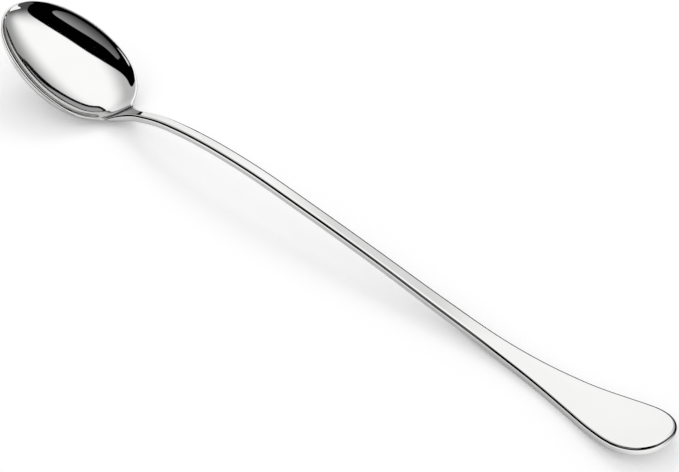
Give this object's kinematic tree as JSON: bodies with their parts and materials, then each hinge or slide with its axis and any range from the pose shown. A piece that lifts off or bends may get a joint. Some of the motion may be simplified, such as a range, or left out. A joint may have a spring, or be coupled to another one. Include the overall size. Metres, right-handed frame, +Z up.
{
  "type": "iced tea spoon",
  "caption": "Long slim stirring spoon with a small egg-shaped bowl, an arched shank and a rounded, slightly dished paddle end, in polished steel.",
  "frame": {"origin": "middle of the bounding box, on the table that the spoon lies on", "axes": "+X from the bowl to the end of the handle, +Z up from the table, the two halves mirror each other in Y"},
  "size_m": [0.2214, 0.0288, 0.0178],
  "materials": {
    "steel": "mirror-polished stainless steel"
  },
  "bodies": {
    "root": {"bowl": "steel", "handle": "steel"}
  },
  "joints": []
}
